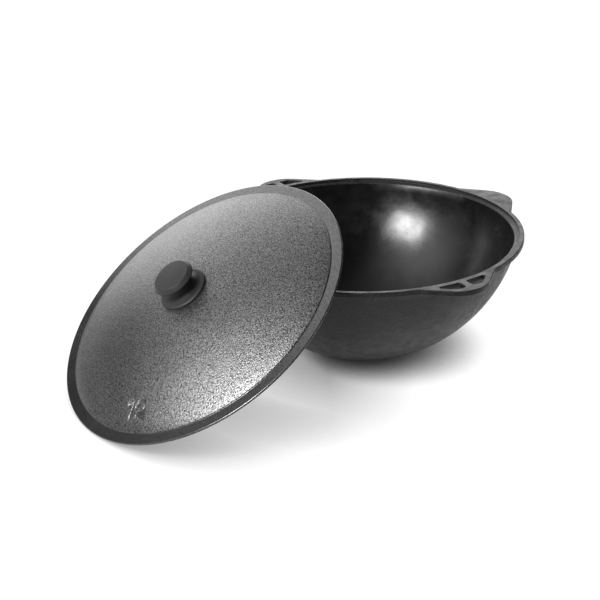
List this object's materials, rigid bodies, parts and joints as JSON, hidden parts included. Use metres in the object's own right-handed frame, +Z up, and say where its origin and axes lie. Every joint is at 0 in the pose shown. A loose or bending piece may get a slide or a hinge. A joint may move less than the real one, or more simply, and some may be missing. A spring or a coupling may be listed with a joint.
{
  "type": "kazan",
  "caption": "Round-bottomed cast-iron cooking cauldron with a flanged rim, flat ears and a domed iron lid with a black moulded knob, the lid leaning on one ear.",
  "frame": {"origin": "bowl axis where it meets the floor, in the middle of the flat foot", "axes": "+Z up along the bowl axis, -Y towards the viewer of the picture, +X to their right; the lid leans on the ear at 211.2 degrees from +X"},
  "size_m": [0.597, 0.5357, 0.2332],
  "materials": {
    "bowl_iron": "oiled as-cast, satin black inside and matt dark grey outside",
    "lid_iron": "oiled sand-cast grain, satin",
    "knob_plastic": "satin black moulded phenolic",
    "insert_brass": "knurled and moulded in",
    "screw_steel": "zinc plated"
  },
  "bodies": {
    "root": {"bowl": "bowl_iron", "lid": "lid_iron", "knob": "knob_plastic", "knob_insert": "insert_brass", "knob_washer": "screw_steel", "knob_screw": "screw_steel"}
  },
  "joints": []
}
